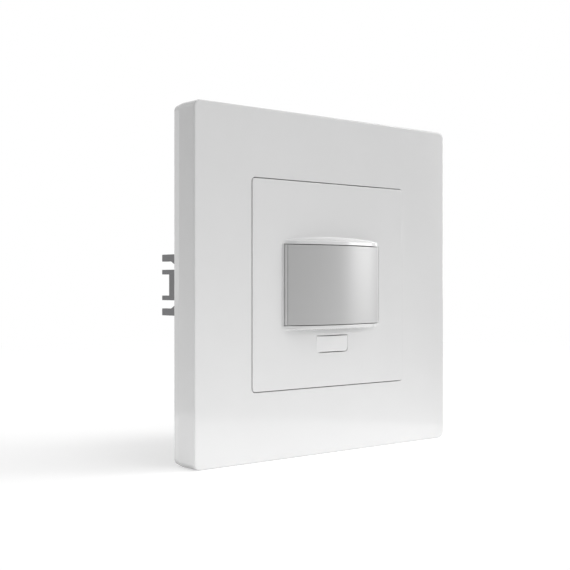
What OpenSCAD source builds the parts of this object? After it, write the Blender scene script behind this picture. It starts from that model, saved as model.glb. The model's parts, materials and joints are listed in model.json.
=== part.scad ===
// Flush wall switch with a motion sensor: a square frame around a centre cover that carries a
// curved infrared lens and an override button, on a box-mounted mechanism with spreading claws.
// X runs to the right, Y into the wall and Z up. The wall plane is y = 0, and the origin is the
// middle of the box fixing screws.

/* [Frame plate] */
// Width and height of the square frame
plate_w = 84; // [80:0.5:90]
// Depth of the frame from the wall to its front face
plate_t = 8.5; // [8:0.1:10.5]
// Radius of the frame's four corners
plate_corner_r = 1.8; // [1.5:0.1:4]
// Thickness of the frame's front wall
plate_face_t = 2.2; // [1.6:0.1:2.6]
// Thickness of the frame's side walls
plate_wall_t = 1.8; // [1.4:0.1:2.4]
// Rounding of the frame's front edge
front_edge_r = 0.4; // [0.3:0.05:1]
// How far the back edge is drawn in
back_edge_in = 0.35; // [0.2:0.05:0.8]
// Depth of the drawn-in back edge
back_edge_d = 2.5; // [1.5:0.1:3.2]
// Thickness of the collar behind the frame's opening
collar_t = 1.2; // [0.8:0.1:1.6]

/* [Centre cover] */
// Width and height of the centre cover
cover_w = 50.5; // [49:0.25:52]
// Thickness of the centre cover
cover_t = 2; // [1.6:0.1:2.4]
// Gap between the cover and the frame
cover_gap = 0.2; // [0.15:0.01:0.4]
// How far the cover stands in front of the frame
cover_proud = 0.2; // [0:0.05:0.5]
// Radius of the cover's corners
cover_corner_r = 0.9; // [0.6:0.1:2]
// Rounding of the cover's front edge
cover_edge_r = 0.3; // [0.15:0.05:0.5]
// Thickness of the skirt behind the cover
skirt_t = 1.1; // [0.8:0.1:1.3]

/* [Lens] */
// Width of the lens
lens_w = 31.6; // [28:0.2:32]
// Height of the lens
lens_h = 19.5; // [16:0.25:21]
// Wall thickness of the lens
lens_t = 0.9; // [0.6:0.05:1.2]
// Gap between the lens and its window
lens_gap = 0.2; // [0.1:0.05:0.4]
// Width of the low border at the lens's two ends
lens_border = 0.6; // [0.4:0.05:1.5]
// Height of the step from the border up to the pane
lens_step = 0.25; // [0.15:0.05:0.5]
// Width of the bulge around the lens
bulge_w = 34; // [33.4:0.2:36]
// How far the bulge stands out at its middle
bulge_d = 3; // [2:0.1:4.5]
// Rim of the bulge above and below the lens
bulge_rim = 0.85; // [0.5:0.05:1.5]
// Spread of the bulge's roof per unit of depth
roof_slope = 0.487; // [0.3:0.01:0.8]
// Width of the lens's fixing flange
lens_flange_w = 1.6; // [1:0.1:2]
// Thickness of the lens's fixing flange
lens_flange_t = 1; // [0.7:0.1:1.2]

/* [Push button] */
// Width of the button
button_w = 10; // [8:0.25:11]
// Height of the button
button_h = 3.9; // [3.4:0.1:4.4]
// Distance from the foot of the bulge down to the button
button_drop = 0.46; // [0.2:0.01:0.6]
// How far the middle of the button stands out
button_proud = 0.5; // [0.5:0.05:1.6]
// Crown of the button's front across its width
button_crown = 0.2; // [0.2:0.05:0.9]
// Gap around the button
button_gap = 0.12; // [0.1:0.01:0.25]
// Travel of the button
button_travel = 0.6; // [0.4:0.05:0.7]

/* [Mounting strap] */
// Width and height of the steel strap
strap_w = 71; // [70:0.5:72]
// Thickness of the strap
strap_t = 1.2; // [1:0.1:1.4]
// Radius of the strap's corners
strap_corner_r = 4; // [3:0.5:6]
// Distance between the box fixing screws
fixing_centres = 60; // [59:0.5:61]
// Width of the fixing slots
slot_w = 4.2; // [3.6:0.1:4.6]
// Length of the fixing slots
slot_l = 7; // [6:0.25:8]

/* [Housing] */
// Width and height of the mechanism's housing
body_w = 44; // [43:0.25:45]
// Depth of the housing behind the wall
body_depth = 25; // [24:0.25:28]
// Wall thickness of the housing
body_wall = 1.5; // [1.2:0.1:1.7]
// Chamfer of the housing's corners
body_chamfer = 5; // [4:0.25:5.5]
// Distance of the housing screws from the housing's sides
boss_inset = 5.5; // [5.25:0.05:6]
// Radius of the screw bosses
boss_r = 2.7; // [2.4:0.1:2.9]
// Thickness of the housing's rear wall
rear_wall_t = 2.4; // [2.2:0.1:3]
// Thickness of the front housing's face
front_wall_t = 2; // [1.8:0.1:2.2]

/* [Claws] */
// Thickness of the claw's sheet
claw_sheet = 1.2; // [1:0.05:1.3]
// Depth of the claw's tips behind the wall
claw_reach = 24.8; // [22:0.2:28]
// Height of the comb plate
claw_h = 15.6; // [14:0.2:18]
// Height of each outer tine
tine_h = 1.8; // [1.4:0.1:2.2]
// Outer height of the claw's channel
channel_h = 7.8; // [7.6:0.1:8.4]
// Depth of the notch between the channel's tips
notch_d = 3.2; // [2:0.1:5]
// Length of the slots beside the channel
comb_slot_l = 5.6; // [3.6:0.1:7]
// Distance from the claw's screw to its pivot
heel_arm = 3; // [2.6:0.1:3.4]
// Swing of the claw in degrees
claw_swing = 20; // [10:1:24]
// Radius of the claw's pivot pin
pin_r = 1; // [0.8:0.05:1.2]

/* [Boards] */
// Thickness of the circuit boards
board_t = 1.6; // [1.2:0.1:1.8]
// Radius of the infrared sensor's can
can_r = 4.6; // [4:0.1:5]
// Height of the infrared sensor's can
can_h = 4; // [3.2:0.1:4.2]
// Side of the adjusters' bodies
trimmer_w = 6.6; // [6:0.1:7]
// Radius of the adjusters' rotors
rotor_r = 1.9; // [1.6:0.1:2.2]
// Height of the relay
relay_h = 10.2; // [9.4:0.1:11]

/* [Terminals] */
// Width of each terminal block
terminal_w = 8; // [7.4:0.1:8.4]
// Height of each terminal block
terminal_h = 10; // [9.6:0.1:10.6]
// Distance between the terminal blocks
terminal_pitch = 9.4; // [9:0.1:9.8]
// Radius of the wire entries
wire_r = 1.7; // [1.5:0.05:1.9]
// Depth of the wire entries
wire_d = 6.5; // [5.5:0.1:7]
// Travel of the wire releases
release_travel = 0.7; // [0.4:0.05:0.9]

/* [Hidden] */
$fn = 72;
// Clearances: a pressed or threaded fit, a running fit, loose room, room to swing, and a cut's overrun
fit = 0.02;
play = 0.05;
clear = 0.2;
swing_room = 0.3;
over = 1;

// Front stack
opening_w = cover_w + 2 * cover_gap;
face_y = -plate_t;
cover_y = face_y - cover_proud;
cover_back_y = cover_y + cover_t;
front_wall_back_y = cover_back_y + front_wall_t;
strap_front_y = -strap_t;
cavity_w = plate_w - 2 * plate_wall_t;
cavity_y = face_y + plate_face_t;

// Bulge and lens: cylinders about one upright axis inside the wall
bulge_r = (bulge_w * bulge_w / 4 + bulge_d * bulge_d) / (2 * bulge_d);
bulge_axis_y = cover_y - bulge_d + bulge_r;
bulge_half_angle = asin(bulge_w / 2 / bulge_r);
bulge_root_r = bulge_r - bulge_d - cover_t / 2;
window_w = lens_w + 2 * lens_gap;
window_h = lens_h + 2 * lens_gap;
roof_z = window_h / 2 + bulge_rim;
roof_root_z = roof_z + roof_slope * (bulge_r - bulge_root_r);
bulge_foot_z = roof_z + roof_slope * bulge_d;
button_z = -(bulge_foot_z + button_drop + button_h / 2);
lens_back_y = cover_back_y + lens_flange_t;

// Boards and the screws that clamp them
body_half = body_w / 2;
inner_w = body_w - 2 * body_wall;
inner_chamfer = body_chamfer - body_wall * (2 - sqrt(2));
boss_at = body_half - boss_inset;
strap_chamfer = inner_w - 2 * boss_at - sqrt(2) * (boss_r + clear);
board_w = inner_w - 2 * clear;
board_drop = 0.8;
board_y = strap_front_y + board_drop;
spacer_y = board_y + board_t;
part_headroom = 0.8;
spacer_l = relay_h + part_headroom;
power_board_y = spacer_y + spacer_l;
block_y = power_board_y + board_t;
rear_wall_y = body_depth - rear_wall_t;
screw_r = 1.25;
screw_head_r = 2.2;
screw_head_h = 1.3;
screw_seat_y = body_depth - screw_head_h - clear;
screw_tip_room = 0.6;
screw_tip_y = front_wall_back_y + screw_tip_room;
hole_r = screw_r + clear;
spacer_r = boss_r - swing_room;

// Button, its switch and the adjusters
button_r = (button_w * button_w / 4 + button_crown * button_crown) / (2 * button_crown);
button_lip = 1;
button_lip_t = 0.8;
button_lip_y = cover_back_y + play;
switch_w = 6;
plunger_r = 1.7;
switch_gap = 0.4;
switch_front_y = front_wall_back_y + button_travel + switch_gap;
stem_y = front_wall_back_y - play;
plunger_y = front_wall_back_y;
plunger_root = 0.8;
plunger_l = switch_front_y - plunger_y + plunger_root;
trimmer_x = 9.4;
trimmer_y = front_wall_back_y + clear;
rotor_recess = 0.5;
rotor_y = cover_back_y + rotor_recess;
rotor_shaft_r = 1.2;
rotor_shaft_l = 2;
light_sensor_x = 9;
light_sensor_r = 1.5;
light_sensor_h = 2.6;
light_sensor_rim = 0.3;
light_sensor_rim_h = 0.6;
can_flange_w = 0.35;
can_flange_r = can_r + can_flange_w;
can_flange_h = 0.6;
filter_w = 4.4;
filter_h = 3.4;
filter_t = 0.5;
can_wall = 0.35;
lead_r = 0.25;
lead_circle_r = 2.54;

// Claws, from the housing outwards
claw_screw_r = 1.5;
bush_r = 2.3;
bush_l = 2;
claw_screw_x = body_half + bush_r + swing_room;
pivot_x = claw_screw_x + heel_arm;
claw_outer_x = pivot_x + pin_r;
pivot_y = 3.4;
ear_wall = 0.7;
ear_r = pin_r + ear_wall;
lug_wall = 0.9;
lug_r = pin_r + lug_wall;
lug_t = claw_sheet;
flange_inner_x = body_half + 3 * swing_room;
heel_y = pivot_y + ear_r + swing_room;
heel_lift = heel_y - pivot_y;
claw_tip_r = 0.3;
claw_tip_l = 1.2;
claw_travel = (heel_arm - claw_tip_r) * tan(claw_swing) + heel_lift * (1 / cos(claw_swing) - 1);
comb_start = 4;
comb_y = heel_y + comb_start;
comb_root_y = claw_reach - comb_slot_l;
web_end_y = claw_reach - notch_d;
lug_z = channel_h / 2 + clear;
claw_head_r = 2.5;
claw_head_h = 1.7;
claw_head_y = strap_front_y - claw_travel - 2 * play;
claw_tip_y = heel_y - 2 * play;
skirt_end_y = claw_head_y - claw_head_h - swing_room;
collar_end_y = skirt_end_y;

// Seats and clips of the frame on the strap
seat_at = strap_w / 2 - strap_corner_r;
seat_r = 2.6;
clip_x = 18;
clip_z = 30.6;
clip_w = 6;
clip_t = 1.8;
clip_tip_y = -clear;

// Parts on the power board: x and z of the middle, width, height and how far they stand out
part_gap = 0.4;
relay_size = [19, 15];
relay_end_x = 4;
relay_at = [relay_end_x - relay_size[0] / 2, 6];
relay_seam = 0.3;
relay_base_h = 2.4;
film_size = [12, 5.4];
film_at = [relay_end_x + part_gap + film_size[0] / 2, 11];
film_h = 9.4;
bulk_r = 4;
bulk_at = [relay_end_x + part_gap + bulk_r, 2.6];
bulk_h = 9.4;
varistor_at = [-14, -6];
choke_at = [-4, -7];
header_at = [15.4, -3];
header_n = 4;
header_pitch = 2.54;
header_w = 2.5;
header_d = 2.5;
header_pin_r = 0.3;

// Terminals
terminal_x = [-terminal_pitch, 0, terminal_pitch];
terminal_drop = 12.3;
terminal_z = -terminal_drop;
wire_rise = 2;
wire_z = terminal_z + wire_rise;
release_fall = 2.9;
release_z = terminal_z - release_fall;
release_w = 4;
release_h = 2.6;
release_proud = 0.9;
release_l = 4.4;
release_y = body_depth - release_l;
contact_pocket_w = 5;
contact_pocket_h = 5;
contact_t = 0.5;
contact_end_y = body_depth - wire_d;

// A sketch drawn in X and Z, made into a slab from y = y0 inwards
module slab(y0, depth) {
    translate([0, y0 + depth, 0])
        rotate([90, 0, 0])
            linear_extrude(depth)
                children();
}

// A round bar along Y from y = y0 inwards
module bar(x, z, r, y0, length) {
    translate([x, y0, z])
        rotate([-90, 0, 0])
            cylinder(r = r, h = length);
}

module rounded(w, h, r) {
    square([w - 2 * r, h], center = true);
    square([w, h - 2 * r], center = true);
    for (sx = [-1, 1], sz = [-1, 1])
        translate([sx * (w / 2 - r), sz * (h / 2 - r)])
            circle(r = r);
}

module chamfered(w, c) {
    a = w / 2;
    b = a - c;
    polygon([[a, b], [b, a], [-b, a], [-a, b], [-a, -b], [-b, -a], [b, -a], [a, -b]]);
}

module at_corners(d) {
    for (sx = [-1, 1], sz = [-1, 1])
        translate([sx * d, 0, sz * d])
            children();
}

module both_sides() {
    children();
    mirror([1, 0, 0]) children();
}

// Cross section of a slab's edge: x is the way out and y the depth behind the front face
module edge_section(reach, t, front_r, back_in, back_d) {
    translate([0, front_r])
        square([reach, t - front_r - back_d]);
    square([reach - front_r, front_r]);
    translate([reach - front_r, front_r])
        intersection() {
            circle(r = front_r);
            translate([0, -front_r])
                square(front_r);
        }
    if (back_d > 0)
        polygon([[0, t - back_d], [reach, t - back_d], [reach - back_in, t], [0, t]]);
}

// A square slab with round corners, a rounded front edge and an optional drawn-in back edge
module soft_slab(w, y0, t, corner_r, front_r, back_in = 0, back_d = 0) {
    core = w - 2 * corner_r;
    translate([-core / 2, y0, -core / 2])
        cube([core, t, core]);
    for (turn = [0, 90, 180, 270])
        rotate([0, turn, 0]) {
            translate([core / 2, y0, -core / 2])
                linear_extrude(core)
                    edge_section(corner_r, t, front_r, back_in, back_d);
            translate([core / 2, y0, core / 2])
                rotate([-90, 0, 0])
                    rotate([0, 0, -90])
                        rotate_extrude(angle = 90)
                            edge_section(corner_r, t, front_r, back_in, back_d);
        }
}

module frame_plate() {
    color("white") {
        difference() {
            soft_slab(plate_w, face_y, plate_t, plate_corner_r, front_edge_r,
                      back_edge_in, back_edge_d);
            slab(cavity_y, plate_t)
                rounded(cavity_w, cavity_w, plate_corner_r / 2);
            slab(face_y - over, plate_t)
                rounded(opening_w, opening_w, cover_corner_r + cover_gap);
        }
        slab(cavity_y, collar_end_y - cavity_y)
            difference() {
                rounded(opening_w + 2 * collar_t, opening_w + 2 * collar_t, cover_corner_r + collar_t);
                rounded(opening_w, opening_w, cover_corner_r + cover_gap);
            }
        at_corners(seat_at)
            bar(0, 0, seat_r, cavity_y, strap_front_y - cavity_y);
        for (sx = [-1, 1], sz = [-1, 1])
            translate([sx * clip_x - clip_w / 2, cavity_y, sz * clip_z - clip_t / 2])
                cube([clip_w, clip_tip_y - cavity_y, clip_t]);
    }
}

// The bulge stands on the cover as a sector of a drum with sloping ends
module bulge() {
    intersection() {
        translate([0, bulge_axis_y, 0])
            rotate([0, 0, -90 - bulge_half_angle])
                rotate_extrude(angle = 2 * bulge_half_angle)
                    polygon([[bulge_root_r, -roof_root_z], [bulge_r, -roof_z],
                             [bulge_r, roof_z], [bulge_root_r, roof_root_z]]);
        slab(cover_y - bulge_d - over, bulge_d + over + cover_t / 2)
            square(cover_w, center = true);
    }
}

module centre_cover() {
    skirt_w = body_w + 2 * clear;
    hook_w = 8;
    hook_d = 0.5;
    hook_h = 0.9;
    color("white") {
        difference() {
            union() {
                soft_slab(cover_w, cover_y, cover_t, cover_corner_r, cover_edge_r);
                bulge();
            }
            slab(cover_y - bulge_d - over, bulge_d + cover_t + 2 * over)
                square([window_w, window_h], center = true);
            translate([0, 0, button_z])
                slab(cover_y - over, cover_t + 2 * over)
                    square([button_w + 2 * button_gap, button_h + 2 * button_gap], center = true);
        }
        slab(cover_back_y, skirt_end_y - cover_back_y)
            difference() {
                square(skirt_w + 2 * skirt_t, center = true);
                square(skirt_w, center = true);
            }
        for (sz = [-1, 1])
            translate([-hook_w / 2, skirt_end_y - hook_h, sz * (skirt_w / 2 - hook_d / 2) - hook_d / 2])
                cube([hook_w, hook_h, hook_d]);
    }
}

module lens_drum(r, w) {
    intersection() {
        translate([0, bulge_axis_y, -lens_h / 2])
            cylinder(r = r, h = lens_h, $fn = 360);
        translate([-w / 2, cover_y - bulge_d - over, -lens_h / 2])
            cube([w, bulge_d + cover_t + over, lens_h]);
    }
}

module fresnel_lens() {
    inside_w = lens_w - 2 * lens_t;
    inside_h = lens_h - 2 * lens_t;
    color("gray")
        difference() {
            union() {
                lens_drum(bulge_r, lens_w);
                lens_drum(bulge_r + lens_step, lens_w - 2 * lens_border);
                slab(cover_back_y, lens_flange_t)
                    square([lens_w + 2 * lens_flange_w, lens_h + 2 * lens_flange_w], center = true);
            }
            intersection() {
                translate([0, bulge_axis_y, -inside_h / 2])
                    cylinder(r = bulge_r - lens_t, h = inside_h, $fn = 360);
                translate([-inside_w / 2, cover_y - bulge_d - over, -inside_h / 2])
                    cube([inside_w, lens_back_y - cover_y + bulge_d + 2 * over, inside_h]);
            }
        }
}

module push_button() {
    front_y = cover_y - button_proud;
    color("white")
        translate([0, 0, button_z]) {
            intersection() {
                translate([0, front_y + button_r, -button_h / 2])
                    cylinder(r = button_r, h = button_h, $fn = 180);
                translate([-button_w / 2, front_y - over, -button_h / 2])
                    cube([button_w, button_lip_y - front_y + over, button_h]);
            }
            slab(button_lip_y, button_lip_t)
                square([button_w + 2 * button_lip, button_h + 2 * button_lip], center = true);
            bar(0, 0, plunger_r, button_lip_y, stem_y - button_lip_y);
        }
}

module front_housing() {
    pocket_w = lens_w + 2 * lens_flange_w + 2 * clear;
    pocket_h = lens_h + 2 * lens_flange_w + 2 * clear;
    well_w = button_w + 2 * button_lip + 2 * clear;
    well_h = button_h + 2 * button_lip + 2 * clear;
    head_room_x = claw_screw_x - claw_head_r - clear;
    head_room_h = 2 * (claw_head_r + clear);
    hook_groove_w = 9;
    hook_groove_d = 0.6;
    color("lightgray")
        difference() {
            union() {
                slab(cover_back_y, front_wall_t)
                    chamfered(body_w, body_chamfer);
                slab(cover_back_y, strap_front_y - cover_back_y)
                    difference() {
                        chamfered(body_w, body_chamfer);
                        chamfered(inner_w, inner_chamfer);
                    }
                at_corners(boss_at)
                    bar(0, 0, boss_r, cover_back_y, board_y - cover_back_y);
            }
            slab(cover_back_y - over, lens_flange_t + over)
                square([pocket_w, pocket_h], center = true);
            slab(cover_back_y - over, front_wall_t + 2 * over)
                square([lens_w - 2 * lens_t, lens_h - 2 * lens_t], center = true);
            translate([0, 0, button_z])
                slab(cover_back_y - over, front_wall_t + 2 * over)
                    square([well_w, well_h], center = true);
            both_sides() {
                bar(trimmer_x, button_z, rotor_r + clear, cover_back_y - over, front_wall_t + 2 * over);
                translate([head_room_x, cover_back_y - over, -head_room_h / 2])
                    cube([body_half, strap_front_y - cover_back_y + 2 * over, head_room_h]);
            }
            for (sz = [-1, 1])
                translate([-hook_groove_w / 2, cover_back_y + front_wall_t / 2,
                           sz * body_half - hook_groove_d])
                    cube([hook_groove_w, strap_front_y - cover_back_y, 2 * hook_groove_d]);
            at_corners(boss_at)
                bar(0, 0, screw_r + fit, screw_tip_y - clear, body_depth);
        }
}

module mounting_strap() {
    slot_run = slot_l - slot_w;
    window_gap = clear;
    color("silver") {
        difference() {
            slab(strap_front_y, strap_t)
                difference() {
                    rounded(strap_w, strap_w, strap_corner_r);
                    chamfered(inner_w, strap_chamfer);
                    for (sz = [-1, 1]) {
                        translate([0, sz * fixing_centres / 2]) {
                            square([slot_w, slot_run], center = true);
                            for (end = [-1, 1])
                                translate([0, end * slot_run / 2])
                                    circle(r = slot_w / 2);
                        }
                        for (sx = [-1, 1])
                            translate([sx * clip_x, sz * clip_z])
                                square([clip_w + 2 * window_gap, clip_t + 2 * window_gap], center = true);
                    }
                }
            both_sides()
                bar(claw_screw_x, 0, claw_screw_r + fit, strap_front_y - over, strap_t + 2 * over);
        }
        both_sides() {
            difference() {
                bar(claw_screw_x, 0, bush_r, 0, bush_l);
                bar(claw_screw_x, 0, claw_screw_r + fit, -over, bush_l + 2 * over);
            }
            for (sz = [-1, 1])
                translate([pivot_x, 0, sz * (lug_z + lug_t / 2) - lug_t / 2])
                    difference() {
                        union() {
                            translate([-lug_r, 0, 0])
                                cube([2 * lug_r, pivot_y, lug_t]);
                            translate([0, pivot_y, 0])
                                cylinder(r = lug_r, h = lug_t);
                        }
                        translate([0, pivot_y, -over])
                            cylinder(r = pin_r + fit, h = lug_t + 2 * over);
                    }
        }
    }
}

module rear_housing() {
    vent_w = 1.4;
    vent_l = 9;
    vent_pitch = 3.4;
    vent_y = power_board_y - vent_l - 1;
    label_w = 24;
    label_h = 11;
    label_d = 0.4;
    color("dimgray")
        difference() {
            union() {
                difference() {
                    slab(0, body_depth)
                        chamfered(body_w, body_chamfer);
                    slab(-over, rear_wall_y + over)
                        chamfered(inner_w, inner_chamfer);
                }
                at_corners(boss_at)
                    bar(0, 0, boss_r, block_y, body_depth - block_y - rear_wall_t / 2);
            }
            at_corners(boss_at) {
                bar(0, 0, hole_r, block_y - over, body_depth);
                bar(0, 0, screw_head_r + clear, screw_seat_y, body_depth);
            }
            for (x = terminal_x)
                translate([x, 0, terminal_z])
                    slab(rear_wall_y - over, rear_wall_t + 2 * over)
                        square([terminal_w + 2 * clear, terminal_h + 2 * clear], center = true);
            for (i = [-3 : 3])
                translate([i * vent_pitch - vent_w / 2, vent_y, body_half - body_wall - over])
                    cube([vent_w, vent_l, body_wall + 2 * over]);
            translate([0, 0, boss_at / 2])
                slab(body_depth - label_d, label_d + over)
                    rounded(label_w, label_h, 1.5);
        }
}

module housing_screws() {
    slot_t = 0.7;
    slot_d = 0.7;
    color("silver")
        at_corners(boss_at) {
            bar(0, 0, screw_r, screw_tip_y, screw_seat_y - screw_tip_y);
            difference() {
                bar(0, 0, screw_head_r, screw_seat_y, screw_head_h);
                translate([-screw_head_r, screw_seat_y + screw_head_h - slot_d, -slot_t / 2])
                    cube([2 * screw_head_r, slot_d + over, slot_t]);
            }
        }
}

// A folded channel on a pivot, with a comb plate whose tips bite into the box
module claw() {
    slot_in = channel_h / 2;
    tine_in = claw_h / 2 - tine_h;
    root = min(0.8, (tine_in - slot_in) / 2);
    channel_depth = claw_outer_x - flange_inner_x;
    tip_depth = 2.6;
    difference() {
        union() {
            for (sz = [-1, 1])
                translate([0, 0, sz * (channel_h - claw_sheet) / 2 - claw_sheet / 2]) {
                    translate([pivot_x, pivot_y, 0])
                        cylinder(r = ear_r, h = claw_sheet);
                    translate([pivot_x - ear_r, pivot_y, 0])
                        cube([ear_r + claw_outer_x - pivot_x, heel_lift + claw_sheet, claw_sheet]);
                    translate([flange_inner_x, heel_y, 0])
                        cube([channel_depth, web_end_y - heel_y - over, claw_sheet]);
                    translate([claw_outer_x - tip_depth, heel_y, 0])
                        cube([tip_depth, claw_reach - heel_y, claw_sheet]);
                }
            translate([flange_inner_x, heel_y, -channel_h / 2])
                cube([channel_depth, claw_sheet, channel_h]);
            translate([claw_outer_x, 0, 0])
                rotate([0, -90, 0])
                    linear_extrude(claw_sheet) {
                        translate([-channel_h / 2, heel_y])
                            square([channel_h, web_end_y - heel_y]);
                        translate([-claw_h / 2, comb_y])
                            square([claw_h, comb_root_y - comb_y]);
                        for (side = [-1, 1])
                            polygon([[side * claw_h / 2, comb_root_y - root],
                                     [side * claw_h / 2, claw_reach],
                                     [side * tine_in, claw_reach],
                                     [side * tine_in, comb_root_y + 2 * root],
                                     [side * (tine_in - root), comb_root_y],
                                     [side * (tine_in - root), comb_root_y - root]]);
                    }
        }
        translate([pivot_x, pivot_y, -channel_h])
            cylinder(r = pin_r + play, h = 2 * channel_h);
    }
}

module claw_right() { color("dimgray") claw(); }

module claw_left() { color("dimgray") mirror([1, 0, 0]) claw(); }

module claw_pins() {
    pin_half = lug_z + lug_t;
    color("silver")
        both_sides()
            translate([pivot_x, pivot_y, -pin_half])
                cylinder(r = pin_r, h = 2 * pin_half);
}

module claw_screw() {
    slot_t = 0.8;
    slot_d = 0.8;
    shank_end_y = claw_tip_y - claw_tip_l;
    bar(claw_screw_x, 0, claw_screw_r, claw_head_y, shank_end_y - claw_head_y);
    translate([claw_screw_x, shank_end_y, 0])
        rotate([-90, 0, 0])
            cylinder(r1 = claw_screw_r, r2 = claw_tip_r, h = claw_tip_l);
    difference() {
        bar(claw_screw_x, 0, claw_head_r, claw_head_y - claw_head_h, claw_head_h);
        translate([claw_screw_x - claw_head_r, claw_head_y - claw_head_h - over, -slot_t / 2])
            cube([2 * claw_head_r, slot_d + over, slot_t]);
    }
}

module claw_screw_right() { color("silver") claw_screw(); }

module claw_screw_left() { color("silver") mirror([1, 0, 0]) claw_screw(); }

// A board cut to the inside of the housing, drilled for the four screws
module board(y0) {
    difference() {
        slab(y0, board_t)
            chamfered(board_w, body_chamfer);
        at_corners(boss_at)
            bar(0, 0, hole_r, y0 - over, board_t + 2 * over);
        children();
    }
}

module lead_places() {
    for (turn = [45, 135, 225])
        rotate([0, turn, 0])
            translate([lead_circle_r, 0, 0])
                children();
}

module sensor_board() {
    color("darkgreen")
        board(board_y)
            lead_places()
                bar(0, 0, lead_r + play, board_y - over, board_t + 2 * over);
}

module pir_can() {
    color("silver")
        difference() {
            union() {
                bar(0, 0, can_r, board_y - can_h, can_h);
                bar(0, 0, can_flange_r, board_y - can_flange_h, can_flange_h);
            }
            slab(board_y - can_h - over, can_wall + filter_t + over)
                square([filter_w, filter_h], center = true);
        }
}

module pir_filter() {
    color("black")
        slab(board_y - can_h + can_wall, filter_t)
            square([filter_w - 2 * fit, filter_h - 2 * fit], center = true);
}

module pir_leads() {
    lead_proud = part_headroom - swing_room;
    color("gold")
        lead_places()
            bar(0, 0, lead_r, board_y, board_t + lead_proud);
}

module light_sensor() {
    color("lightcyan") {
        bar(light_sensor_x, 0, light_sensor_r + light_sensor_rim,
            board_y - light_sensor_rim_h, light_sensor_rim_h);
        bar(light_sensor_x, 0, light_sensor_r, board_y - light_sensor_h, light_sensor_h);
    }
}

module switch_body() {
    shaft_room = plunger_l + button_travel + clear;
    color("dimgray")
        difference() {
            translate([-switch_w / 2, switch_front_y, button_z - switch_w / 2])
                cube([switch_w, board_y - switch_front_y, switch_w]);
            bar(0, button_z, plunger_r + play, switch_front_y - over,
                over + shaft_room - (switch_front_y - plunger_y));
        }
}

module switch_plunger() {
    color("red")
        bar(0, button_z, plunger_r - play, plunger_y, plunger_l);
}

module trimmer_bodies() {
    color("royalblue")
        both_sides()
            difference() {
                translate([trimmer_x - trimmer_w / 2, trimmer_y, button_z - trimmer_w / 2])
                    cube([trimmer_w, board_y - trimmer_y, trimmer_w]);
                bar(trimmer_x, button_z, rotor_shaft_r + play, trimmer_y - over,
                    rotor_shaft_l + clear + over);
            }
}

module rotor() {
    slot_t = 0.7;
    slot_d = 0.8;
    difference() {
        bar(trimmer_x, button_z, rotor_r, rotor_y, trimmer_y - play - rotor_y);
        translate([trimmer_x - rotor_r, rotor_y - over, button_z - slot_t / 2])
            cube([2 * rotor_r, slot_d + over, slot_t]);
    }
    bar(trimmer_x, button_z, rotor_shaft_r, rotor_y + slot_d,
        trimmer_y + rotor_shaft_l - rotor_y - slot_d);
}

module time_rotor() { color("white") mirror([1, 0, 0]) rotor(); }

module lux_rotor() { color("white") rotor(); }

module board_spacers() {
    color("ivory")
        at_corners(boss_at)
            difference() {
                bar(0, 0, spacer_r, spacer_y, spacer_l);
                bar(0, 0, hole_r, spacer_y - over, spacer_l + 2 * over);
            }
}

// The plug strip between the two boards
module header_places() {
    for (i = [0 : header_n - 1])
        translate([header_at[0], 0, header_at[1] + (i - (header_n - 1) / 2) * header_pitch])
            children();
}

module board_header() {
    color("black")
        difference() {
            boxed_part(header_at, [header_w, header_n * header_pitch], header_d);
            header_places()
                bar(0, 0, header_pin_r + fit, spacer_y, spacer_l);
        }
}

module header_pins() {
    color("gold")
        header_places()
            bar(0, 0, header_pin_r, spacer_y, spacer_l);
}

module power_board() { color("darkgreen") board(power_board_y); }

// A boxed part that stands on the power board and reaches towards the front
module boxed_part(at, size, height) {
    translate([at[0] - size[0] / 2, power_board_y - height, at[1] - size[1] / 2])
        cube([size[0], height, size[1]]);
}

module relay() {
    color("black") {
        boxed_part(relay_at, relay_size, relay_base_h);
        boxed_part(relay_at, relay_size - 2 * [relay_seam, relay_seam], relay_h);
    }
}

module film_capacitor() { color("goldenrod") boxed_part(film_at, film_size, film_h); }

module bulk_capacitor() {
    groove_y = 1.7;
    groove_d = 0.35;
    color("midnightblue")
        translate([bulk_at[0], power_board_y, bulk_at[1]])
            rotate([90, 0, 0])
                rotate_extrude()
                    polygon([[0, 0], [bulk_r, 0], [bulk_r, groove_y - groove_d],
                             [bulk_r - groove_d, groove_y], [bulk_r, groove_y + groove_d],
                             [bulk_r, bulk_h], [0, bulk_h]]);
}

module varistor() {
    disc_r = 3.6;
    disc_t = 3.2;
    foot_w = 5;
    foot_h = 5;
    color("steelblue")
        translate([varistor_at[0], power_board_y - foot_h, varistor_at[1]]) {
            translate([-disc_t / 2, 0, 0])
                rotate([0, 90, 0])
                    cylinder(r = disc_r, h = disc_t);
            translate([-disc_t / 2, 0, -foot_w / 2])
                cube([disc_t, foot_h, foot_w]);
        }
}

module choke() {
    drum_r = 3.4;
    drum_h = 7;
    rim_h = 1.1;
    waist = 0.7;
    color("saddlebrown")
        translate([choke_at[0], power_board_y, choke_at[1]])
            rotate([90, 0, 0])
                rotate_extrude()
                    polygon([[0, 0], [drum_r, 0], [drum_r, rim_h], [drum_r - waist, rim_h],
                             [drum_r - waist, drum_h - rim_h], [drum_r, drum_h - rim_h],
                             [drum_r, drum_h], [0, drum_h]]);
}

// A block on the power board with a wire entry, a release slot and a pocket for its contact
module terminal(x) {
    translate([x, 0, 0])
        difference() {
            translate([-terminal_w / 2, block_y, terminal_z - terminal_h / 2])
                cube([terminal_w, body_depth - block_y, terminal_h]);
            bar(0, wire_z, wire_r, body_depth - wire_d, wire_d + over);
            translate([-contact_pocket_w / 2, block_y - over, wire_z - contact_pocket_h / 2])
                cube([contact_pocket_w, contact_end_y - block_y + over, contact_pocket_h]);
            translate([-release_w / 2 - clear, release_y - release_travel - clear,
                       release_z - release_h / 2 - clear])
                cube([release_w + 2 * clear, body_depth, release_h + 2 * clear]);
        }
}

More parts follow.
